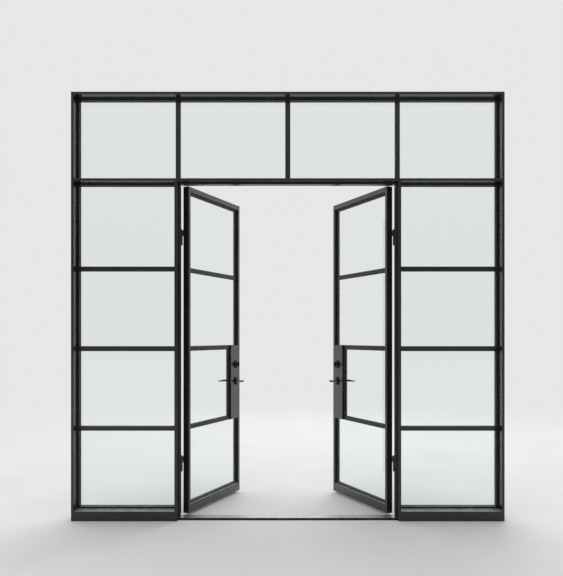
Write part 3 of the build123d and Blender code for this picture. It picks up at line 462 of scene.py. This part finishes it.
def paint(name, base, dust_and_highlight_share, rough, specular, edge_radius=0.0007, low_dust_and_highlight=1.0):
    """Satin paint with orange peel, uneven gloss and rubbed edges. Dust and a painted highlight
    make what faces up paler.
    """
    look = Look(name)
    edge = look.round_edges(edge_radius)
    patches = look.noise(PATCH_SCALE, detail=4.0)
    clouds = look.noise(CLOUD_SCALE, detail=3.0)
    grain = look.noise(GRAIN_SCALE, detail=2.0)
    speck = look.noise(SPECK_SCALE, detail=1.0)
    dark, light = (scaled(base, tone) for tone in PATCH_TONES)
    colour = look.mix(look.map(patches, MIDDLE), dark, light)
    grained = look.map(grain, GRAIN_SPAN, (0.0, GRAIN_SHARE))
    colour = look.mix(grained, colour, scaled(base, GRAIN_TONE))
    rub = look.math("MULTIPLY", edge, look.map(clouds, RUBBED_SPAN, (0.0, RUBBED_SHARE)))
    colour = look.mix(rub, colour, RUBBED)

    # Dust and a painted highlight on what faces up, thicker and paler near the floor; rain
    # splashes too
    lying = look.map(look.up(), DUST_AND_HIGHLIGHT_FACING_UP)
    settled_dust_and_highlight = look.math("MULTIPLY", lying, look.map(clouds, DUST_AND_HIGHLIGHT_SPAN, (DUST_AND_HIGHLIGHT_THIN, 1.0)))
    low_down = look.map(look.along(2), LOW_DUST_AND_HIGHLIGHT_HEIGHTS)
    share = look.map(low_down, (0.0, 1.0), (dust_and_highlight_share, LOW_DUST_AND_HIGHLIGHT_SHARE))
    settled_dust_and_highlight = look.math("MULTIPLY", settled_dust_and_highlight, share)
    spots = look.map(look.noise(SPLASH_SCALE, detail=4.0), SPLASH_SPAN, (0.0, SPLASH_SHARE))
    splash = look.math("MULTIPLY", look.map(look.along(2), SPLASH_HEIGHTS), spots)
    dust_and_highlight = look.math("ADD", settled_dust_and_highlight, splash)
    # Dust and painted highlight: the pale colour on upward faces, paler near the floor, also
    # stands in for bright sky reflected on ledges
    colour = look.mix(dust_and_highlight, colour, look.mix(low_down, DUST_AND_HIGHLIGHT, scaled(LOW_DUST_AND_HIGHLIGHT, low_dust_and_highlight)))

    gloss = look.map(patches, MIDDLE, (rough - GLOSSIER, rough + DULLER))
    gloss = look.math("ADD", gloss, look.math("MULTIPLY", dust_and_highlight, DUST_AND_HIGHLIGHT_ROUGHNESS))
    gloss = look.math("SUBTRACT", gloss, look.math("MULTIPLY", rub, RUBBED_GLOSS))
    look.bump(grain, GRAIN_DEPTH, PAINT_BUMP)
    look.bump(speck, SPECK_DEPTH, PAINT_BUMP)
    look.set(Specular_IOR_Level=specular, Specular_Tint=SHEEN)
    return look.finish(colour, gloss)


# Brushed metal
ALUMINIUM = (0.5, 0.505, 0.49)
STEEL = (0.46, 0.455, 0.44)
BRONZE = (0.13, 0.105, 0.088)
# Stretches that draw a noise out into brushed lines along an axis
ALONG_X_LONG = (0.02, 1.0, 1.0)
ALONG_X = (0.03, 1.0, 1.0)
ALONG_Z = (1.0, 1.0, 0.03)
LINE_SCALE = 900.0
LINE_TONES = (0.86, 1.1)
LINE_BUMP = 0.6
FINE_SCALE = 2600.0
FINE_SPAN = (0.25, 0.75)
BRUSHED_GLOSSIER = 0.06
BRUSHED_DULLER = 0.09
TARNISH_SCALE = 22.0
TARNISH_SPAN = (0.45, 0.8)
TARNISH_TONE = 0.45
TARNISH_ROUGHNESS = 0.3
WORN_TONE = 1.7
WORN_SHARE = 0.35
# Painted shade: a dark colour laid on the threshold's front face
PAINTED_SHADE = (0.012, 0.013, 0.013)
PAINTED_SHADE_SPAN = (0.2, 0.7)
PAINTED_SHADE_THIN = 0.92
PAINTED_SHADE_ROUGHNESS = 0.25


def metal(
    name, base, rough, turn, stretch, edge_radius=0.0004, tarnished=0.25, depth=0.00002, painted_shade=None
):
    """Brushed metal: fine lines along one way, a little tarnish and brighter edges.

    Painted shade is a pair of places along y: a dark colour, thick before the first and gone after
    the second.
    """
    look = Look(name, turn)
    edge = look.round_edges(edge_radius)
    lines = look.noise(LINE_SCALE, detail=2.0, stretch=stretch, roughness=0.6)
    fine = look.noise(FINE_SCALE, detail=1.0, stretch=stretch)
    clouds = look.noise(TARNISH_SCALE, detail=4.0)
    dark, light = (scaled(base, tone) for tone in LINE_TONES)
    colour = look.mix(look.map(lines, MIDDLE), dark, light)
    tarnish = look.map(clouds, TARNISH_SPAN, (0.0, tarnished))
    colour = look.mix(tarnish, colour, scaled(base, TARNISH_TONE))
    worn = tuple(min(1.0, c) for c in scaled(base, WORN_TONE))
    colour = look.mix(look.math("MULTIPLY", edge, WORN_SHARE), colour, worn)
    gloss = look.map(fine, FINE_SPAN, (rough - BRUSHED_GLOSSIER, rough + BRUSHED_DULLER))
    gloss = look.math("ADD", gloss, look.math("MULTIPLY", tarnish, TARNISH_ROUGHNESS))
    look.bump(lines, depth, LINE_BUMP)
    if painted_shade:
        # Painted shade: darken the front of the piece, unevenly, and make it rougher
        uneven = look.map(clouds, PAINTED_SHADE_SPAN, (PAINTED_SHADE_THIN, 1.0))
        shaded = look.math("MULTIPLY", look.map(look.along(1), painted_shade, (1.0, 0.0)), uneven)
        colour = look.mix(shaded, colour, PAINTED_SHADE)
        gloss = look.math("ADD", gloss, look.math("MULTIPLY", shaded, PAINTED_SHADE_ROUGHNESS))
    look.set(Metallic=1.0)
    return look.finish(colour, gloss)


# Rubber and glass
RUBBER = (0.02, 0.02, 0.02)
BLOOM = (0.075, 0.073, 0.07)
BLOOM_SCALE = 30.0
BLOOM_SPAN = (0.4, 0.8)
BLOOM_SHARE = 0.35
RUBBER_GRAIN_SCALE = 1400.0
RUBBER_GRAIN_DEPTH = 0.00006
RUBBER_BUMP = 0.6
RUBBER_ROUGHNESS = (0.62, 0.8)
GLASS_TINT = (0.93, 0.965, 0.95)
SMEAR_SCALE = 9.0
SMEAR_STRETCH = (1.0, 1.0, 0.35)
SMEAR_SPAN = (0.45, 0.85)
SMEAR_ROUGHNESS = 0.055
WAVE_SCALE = 2.2
WAVE_STRETCH = (0.4, 1.0, 1.6)
WAVE_DEPTH = 0.0006
WAVE_BUMP = 0.35


def rubber(name):
    """Matt rubber with a fine grain and a grey bloom."""
    look = Look(name)
    bloom = look.map(look.noise(BLOOM_SCALE, detail=4.0), BLOOM_SPAN, (0.0, BLOOM_SHARE))
    grain = look.noise(RUBBER_GRAIN_SCALE, detail=2.0)
    look.bump(grain, RUBBER_GRAIN_DEPTH, RUBBER_BUMP)
    look.set(Specular_IOR_Level=0.35)
    return look.finish(look.mix(bloom, RUBBER, BLOOM), look.map(grain, MIDDLE, RUBBER_ROUGHNESS))


def glass(name):
    """Clear toughened glass, slightly green, with faint roller waves and wiping marks."""
    look = Look(name)
    smears = look.noise(SMEAR_SCALE, detail=5.0, stretch=SMEAR_STRETCH, roughness=0.65)
    waves = look.noise(WAVE_SCALE, detail=1.0, stretch=WAVE_STRETCH)
    look.bump(waves, WAVE_DEPTH, WAVE_BUMP)
    look.set(Transmission_Weight=1.0, IOR=1.5, Specular_IOR_Level=0.2)
    return look.finish(GLASS_TINT, look.map(smears, SMEAR_SPAN, (0.0, SMEAR_ROUGHNESS)))


# The looks of the record's slots
LEAF_TONE = 1.1
BAR_TONE = 0.8
DARK_BRONZE = (0.009, 0.0082, 0.0075)
# Painted shade darkens the threshold's front, by the floor: it thins out between these places
PAINTED_SHADE_ENDS = (0.003, 0.0045)

threshold_front = islands("threshold")[0][0].y
looks = {
    "frame_paint": paint("frame_paint", PAINT, dust_and_highlight_share=0.5, rough=0.25, specular=0.6),
    # The leaf's low ledges get a paler mix: a stronger painted highlight of the sky
    "leaf_paint": paint(
        "leaf_paint", scaled(PAINT, LEAF_TONE), dust_and_highlight_share=0.6, rough=0.24, specular=0.95,
        low_dust_and_highlight=1.35,
    ),
    "bar_paint": paint(
        "bar_paint", scaled(PAINT, BAR_TONE), dust_and_highlight_share=0.5, rough=0.36, specular=0.4
    ),
    "glass": glass("clear_glass"),
    "threshold_metal": metal(
        "threshold_metal", ALUMINIUM, rough=0.4, turn=0.0, stretch=ALONG_X_LONG,
        edge_radius=0.0006, tarnished=0.22, depth=0.00004,
        painted_shade=tuple(threshold_front + end for end in PAINTED_SHADE_ENDS),
    ),
    "rubber": rubber("black_rubber"),
    "hardware": paint(
        "dark_bronze", DARK_BRONZE, dust_and_highlight_share=0.1, rough=0.48, specular=0.22, edge_radius=0.0005
    ),
    "lock_steel_frame": metal("lock_steel_frame", STEEL, rough=0.35, turn=0.0, stretch=ALONG_X),
}
for side in SIDES:
    looks["lever_bronze_" + side] = metal(
        "lever_bronze_" + side, BRONZE, rough=0.33, turn=leaf_turn(side), stretch=ALONG_X,
        edge_radius=0.0012, tarnished=0.2,
    )
    looks["lock_steel_" + side] = metal(
        "lock_steel_" + side, STEEL, rough=0.35, turn=leaf_turn(side), stretch=ALONG_Z
    )

BOLT_SIDES = {"latch": "right", "deadbolt": "right", "top_bolt": "left", "bottom_bolt": "left"}


def dress(obj, slot, body):
    """Give a piece or a CAD node the look of its slot."""
    key = slot
    if slot in ("lever_bronze", "lock_steel"):
        key = slot + "_" + BOLT_SIDES.get(body, body.split("_")[0])
    elif obj.name.endswith(("_leaf_bars", "_leaf_beads", "_bead_caps")):
        key = "bar_paint"
    obj.data.materials.clear()
    obj.data.materials.append(looks[key])


for name, obj in nodes.items():
    dress(obj, slot_of[name], obj["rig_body"])


# Glazing seals and the screws of the beads
GASKET = [
    (-0.0006, -0.0004), (0.0030, -0.0004), (0.0026, 0.0008), (0.0012, 0.0022), (-0.0006, 0.0032)
]
BEAD_SCREW = 0.0034
BEAD_SCREW_PITCH = 0.19
BEAD_SCREW_END = 0.06
BEAD_SCREW_RISE = 0.3
# A bead's points that belong to a corner of its pane lie nearer to it than this
BEAD_REACH = 0.02


def sight_edges(pane, places):
    """The opening that the beads leave in front of a pane, as its lowest and highest (x, z)."""
    found = []
    # At each corner the bead reaches in as far as its innermost point, and of the two corners
    # of a side the one that leaves more of the pane free counts
    for k, other in ((0, 2), (2, 0)):
        for end, reach, settle in ((pane[0], max, min), (pane[1], min, max)):
            levels = []
            for corner in pane:
                near = [
                    p[k] for p in places
                    if abs(p[k] - end[k]) < BEAD_REACH
                    and abs(p[other] - corner[other]) < BEAD_REACH
                ]
                if near:
                    levels.append(reach(near))
            found.append(settle(levels))
    left, right, bottom, top = found
    return (left, bottom), (right, top)


def glaze(name, body, glass_nodes, bead_node, side=None, screws=True):
    """Seals on both faces of every pane, and the screws of its beads."""
    places = points(bead_node, side)
    bead_y = (min(p.y for p in places) + max(p.y for p in places)) / 2
    seals, heads = Mesh(), Mesh()
    panes = [pane for node in glass_nodes for pane in islands(node, side)]
    for pane in panes:
        low, high = sight_edges(pane, places)
        seals.mitred_ring(low, high, pane[0].y, -1, GASKET)
        seals.mitred_ring(low, high, pane[1].y, 1, GASKET)
        if screws:
            bead_screws(heads, low, high, bead_y)
    seals.make(name + "_glazing_seals", body, "rubber", side)
    if screws:
        heads.make(name + "_bead_screws", body, "hardware", side)


def bead_screws(heads, low, high, y):
    """A row of screws in each bead round an opening: the upright beads, then the level ones."""
    for across, along in ((0, 1), (1, 0)):
        length = high[along] - low[along] - 2 * BEAD_SCREW_END
        count = max(2, round(length / BEAD_SCREW_PITCH) + 1)
        for level, inward in ((low[across], 1), (high[across], -1)):
            axis = (inward, 0, 0) if across == 0 else (0, 0, inward)
            for place in spread(low[along], high[along], BEAD_SCREW_END, count):
                x, z = (level, place) if across == 0 else (place, level)
                heads.screw((x, y, z), axis, BEAD_SCREW, BEAD_SCREW_RISE)


glaze("fixed", "frame", ["sidelight_glass", "transom_glass"], "frame_beads")
for side in SIDES:
    leaf = side + "_leaf"
    glaze(leaf, leaf, [leaf + "_glass"], leaf + "_beads", side, screws=False)


# Caps over the leaves' outdoor beads
# The room between a pane's edge and the steel, and half the web of a muntin
POCKET = 0.003
HALF_WEB = 0.004
# How far the caps stay under the leaf's face, and clear of the solids round them
CAP_SHY = 0.001
CAP_JOINT = 0.0002
CAP_BEVEL = 0.0015


def bead_caps(side):
    """Hollow caps that bring the outdoor beads nearly level with the leaf's outdoor face."""
    leaf = side + "_leaf"
    places, panes = points(leaf + "_beads", side), islands(leaf + "_glass", side)
    start = max(p.y for p in places) + CAP_JOINT
    end = max(high.y for low, high in islands(side + "_lock_stile", side)) - CAP_SHY
    lowest, highest = min(low.z for low, high in panes), max(high.z for low, high in panes)
    caps = Mesh()
    for low, high in panes:
        inner = sight_edges((low, high), places)
        web_below = HALF_WEB if low.z > lowest + SAME_LEVEL else 0
        web_above = HALF_WEB if high.z < highest - SAME_LEVEL else 0
        outer = (
            (low.x - POCKET + CAP_JOINT, low.z - POCKET - web_below + CAP_JOINT),
            (high.x + POCKET - CAP_JOINT, high.z + POCKET + web_above - CAP_JOINT),
        )
        caps.ring_loop([
            corners(*outer, start),
            corners(*outer, end),
            corners(*grown(*inner, CAP_BEVEL), end),
            corners(*inner, end - CAP_BEVEL),
            corners(*inner, start),
        ])
    caps.make(side + "_bead_caps", leaf, "leaf_paint", side)


for side in SIDES:
    bead_caps(side)


# Screws of the plates, roses and threshold
PLATE_SCREW = 0.0029
PLATE_SCREW_INSET = 0.0085
PLATE_SCREW_RISE = 0.12
ROSE_SCREW = 0.0026
ROSE_SCREW_INSET = 0.0075
ROSE_SCREW_RISE = 0.25
THRESHOLD_SCREW = 0.0042
THRESHOLD_SCREW_END = 0.09
THRESHOLD_SCREW_COUNT = 5
THRESHOLD_SCREW_RISE = 0.1
# The depth of the slope behind the threshold's flat top
THRESHOLD_SLOPE = 0.038


def make_screws(name, body, slot, side, places, axis, radius, rise):
    """Screws of one size and direction, as one piece."""
    heads = Mesh()
    for place in places:
        heads.screw(place, axis, radius, rise)
    heads.make(name, body, slot, side)


def plate_screws():
    """Two screws in each faceplate and strike, and in the upper keep plate."""
    for name, node, side, inward in (
        ("faceplate_screws", "lock_cases", "right", -1),
        ("strike_screws", "strike_plates", "left", 1),
    ):
        places = []
        for low, high in islands(node, side):
            x = low.x if inward < 0 else high.x
            for z in (low.z + PLATE_SCREW_INSET, high.z - PLATE_SCREW_INSET):
                places.append((x, (low.y + high.y) / 2, z))
        make_screws(
            name, side + "_leaf", "lock_steel", side,
            places, (inward, 0, 0), PLATE_SCREW, PLATE_SCREW_RISE,
        )
    low, high = max(islands("shoot_bolt_keeps"), key=lambda box: box[0].z)
    ends = (low.x + PLATE_SCREW_INSET, high.x - PLATE_SCREW_INSET)
    places = [(x, (low.y + high.y) / 2, low.z) for x in ends]
    make_screws(
        "keep_screws", "frame", "lock_steel", None,
        places, (0, 0, -1), PLATE_SCREW, PLATE_SCREW_RISE,
    )


def rose_screws():
    """Two screws in each rose, on the indoor side only."""
    for side in SIDES:
        roses = islands(side + "_roses", side)
        indoor = min(low.y for low, high in roses)
        places = []
        for low, high in roses:
            if low.y - indoor < SAME_LEVEL:
                for z in (low.z + ROSE_SCREW_INSET, high.z - ROSE_SCREW_INSET):
                    places.append(((low.x + high.x) / 2, low.y, z))
        make_screws(
            side + "_rose_screws", side + "_leaf", "hardware", side,
            places, (0, -1, 0), ROSE_SCREW, ROSE_SCREW_RISE,
        )


def threshold_screws():
    """A row of screws along the middle of the threshold's flat top."""
    low, high = islands("threshold")[0]
    y = (low.y + high.y - THRESHOLD_SLOPE) / 2
    along = spread(low.x, high.x, THRESHOLD_SCREW_END, THRESHOLD_SCREW_COUNT)
    places = [(x, y, high.z) for x in along]
    make_screws(
        "threshold_screws", "frame", "lock_steel", None,
        places, (0, 0, 1), THRESHOLD_SCREW, THRESHOLD_SCREW_RISE,
    )


plate_screws()
rose_screws()
threshold_screws()


# Welds at the hinge tabs
WELD_RADIUS = 0.0021
WELD_RIPPLE = 0.0028
WELD_RIPPLE_SHARE = 0.16
STEPS_PER_RIPPLE = 4
WELD_SEGMENTS = 8
# The length of a tab's foot, and the part of it that the welds at its ends leave free
TAB_FOOT = 0.02
TAB_FOOT_GAP = 0.002


def weld(mesh, start, end):
    """A rippled bead that lies along a line, with rounded ends."""
    start, end = Vector(start), Vector(end)
    length = (end - start).length
    steps = round(length / (WELD_RIPPLE / STEPS_PER_RIPPLE))
    profile = [(0.0, 0.0)]
    for i in range(1, steps):
        along = length * i / steps
        from_end = min(along, length - along, WELD_RADIUS)
        swell = (1 - (1 - from_end / WELD_RADIUS) ** 2) ** 0.5
        crest = abs(sin(pi * along / WELD_RIPPLE))
        ripple = 1 - WELD_RIPPLE_SHARE + WELD_RIPPLE_SHARE * crest
        profile.append((WELD_RADIUS * swell * ripple, along))
    profile.append((0.0, length))
    mesh.lathe(start, end - start, profile, WELD_SEGMENTS)


def hinge_welds():
    """Beads along the far side and the two ends of each hinge tab's foot."""
    for name, node, body, slot, side in (
        ("frame_hinge_welds", "frame_hinges", "frame", "frame_paint", None),
        ("left_hinge_welds", "left_leaf_hinges", "left_leaf", "leaf_paint", "left"),
        ("right_hinge_welds", "right_leaf_hinges", "right_leaf", "leaf_paint", "right"),
    ):
        beads = Mesh()
        places = points(node, side)
        for low, high in islands(node, side):
            sign = 1 if low.x > 0 else -1
            outwards = sign if side is None else -sign
            far = high.x if outwards > 0 else low.x
            near = far - outwards * (TAB_FOOT - TAB_FOOT_GAP)
            foot = low.y
            heights = [
                p.z for p in places
                if abs(p.x - far) < SAME_POINT
                and abs(p.y - foot) < SAME_POINT
                and low.z <= p.z <= high.z
            ]
            bottom, top = min(heights), max(heights)
            weld(beads, (far, foot, bottom), (far, foot, top))
            for z in (bottom, top):
                weld(beads, (far, foot, z), (near, foot, z))
        beads.make(name, body, slot, side, smooth=True)


hinge_welds()


# Stage, lights and camera
BACKGROUND = (0.8, 0.8, 0.8)
FLOOR_REACH = 30.0
FLOOR_CLOUD_SCALE = 1.5
FLOOR_DARK = (0.71, 0.71, 0.71)
FLOOR_LIGHT = (0.74, 0.74, 0.74)
FLOOR_ROUGHNESS = 0.75
# Seen straight or in glass and metal, the floor fades into the background between these distances
FADE = (2.6, 9.0)
SKY_LIGHT = 1.6
ROOM_LIGHT = 0.2
TOP_LIGHT = 1.0
GLOSSY_LIGHT = 1.0
# The world grows lighter from indoors to outdoors, and from the horizon up
OUTDOORS = (-0.35, 0.45)
UPWARDS = (0.0, 0.6)
SENSOR_WIDTH = 36.0
LENS = 39.225
LENS_SHIFT = (-0.0109, 0.0847)
CAMERA_PLACE = (0.0, -4.577, 1.324)


def floor():
    """A pale floor that keeps the door's shadow and fades into the background."""
    ends = ((-1, -1), (1, -1), (1, 1), (-1, 1))
    mesh = bpy.data.meshes.new("studio_floor")
    mesh.from_pydata([(x * FLOOR_REACH, y * FLOOR_REACH, 0) for x, y in ends], [], [(0, 1, 2, 3)])
    obj = bpy.data.objects.new("studio_floor", mesh)
    bpy.context.scene.collection.objects.link(obj)
    look = Look("studio_floor")
    clouds = look.map(look.noise(FLOOR_CLOUD_SCALE, detail=3.0), MIDDLE)
    mesh.materials.append(look.finish(look.mix(clouds, FLOOR_DARK, FLOOR_LIGHT), FLOOR_ROUGHNESS))
    distance = look.node("ShaderNodeVectorMath", operation="LENGTH")
    look.wire(look.coords, distance.inputs[0])
    haze = look.node("ShaderNodeEmission")
    look.feed(haze.inputs[0], BACKGROUND)
    paths = look.node("ShaderNodeLightPath").outputs
    seen = look.math("MAXIMUM", paths["Is Camera Ray"], paths["Is Transmission Ray"])
    seen = look.math("MAXIMUM", seen, paths["Is Glossy Ray"])
    far = look.math("MULTIPLY", look.map(distance.outputs["Value"], FADE), seen)
    look.wire(look.blend(far, look.shader.outputs[0], haze.outputs[0]), look.out.inputs[0])


def world():
    """Daylight from outdoors and above, behind an even pale background."""
    studio = bpy.data.worlds.new("studio")
    bpy.context.scene.world = studio
    sky = Nodes(studio)
    paths = sky.node("ShaderNodeLightPath").outputs
    direction = sky.split(sky.node("ShaderNodeTexCoord").outputs["Generated"])
    outdoors = sky.map(direction[1], OUTDOORS, (ROOM_LIGHT, SKY_LIGHT))
    above = sky.map(direction[2], UPWARDS, (ROOM_LIGHT, TOP_LIGHT))
    brightest = sky.math("MAXIMUM", outdoors, above)
    # Shiny surfaces see the sky no brighter than the background
    most = sky.map(paths["Is Glossy Ray"], (0.0, 1.0), (SKY_LIGHT, GLOSSY_LIGHT), kind="LINEAR")
    light = sky.node("ShaderNodeBackground")
    sky.wire(sky.math("MINIMUM", brightest, most), light.inputs["Strength"])
    backdrop = sky.node("ShaderNodeBackground")
    sky.feed(backdrop.inputs["Color"], BACKGROUND)
    seen = sky.math("MAXIMUM", paths["Is Camera Ray"], paths["Is Transmission Ray"])
    out = sky.node("ShaderNodeOutputWorld")
    sky.wire(sky.blend(seen, light.outputs[0], backdrop.outputs[0]), out.inputs[0])


def lamp(name, place, target, size, power, mirrored):
    """A soft rectangular lamp that only lights, and shows in shiny surfaces where mirrored."""
    data = bpy.data.lights.new(name, "AREA")
    data.shape = "RECTANGLE"
    data.size, data.size_y = size
    data.energy = power
    obj = bpy.data.objects.new(name, data)
    obj.location = place
    obj.rotation_euler = (Vector(target) - Vector(place)).to_track_quat("-Z", "Y").to_euler()
    obj.visible_camera = False
    obj.visible_transmission = False
    obj.visible_glossy = mirrored
    bpy.context.scene.collection.objects.link(obj)


def camera():
    """The photograph's camera: level, square to the frame, with its view shifted up."""
    data = bpy.data.cameras.new("photo_camera")
    data.sensor_width = SENSOR_WIDTH
    data.lens = LENS
    data.shift_x, data.shift_y = LENS_SHIFT
    obj = bpy.data.objects.new("photo_camera", data)
    obj.location = CAMERA_PLACE
    obj.rotation_euler = (radians(90), 0, 0)
    bpy.context.scene.collection.objects.link(obj)
    bpy.context.scene.camera = obj


floor()
world()
lamp(
    "outdoor_sky", place=(1.5, 6.5, 6.5), target=(0, 0, 1.3), size=(7.0, 5.0),
    power=220, mirrored=True,
)
lamp(
    "room_window", place=(-4.5, -5.0, 4.0), target=(0, 0, 1.8), size=(3.5, 3.0),
    power=50, mirrored=False,
)
camera()
bpy.context.scene.view_settings.view_transform = "Standard"

bpy.context.view_layer.update()
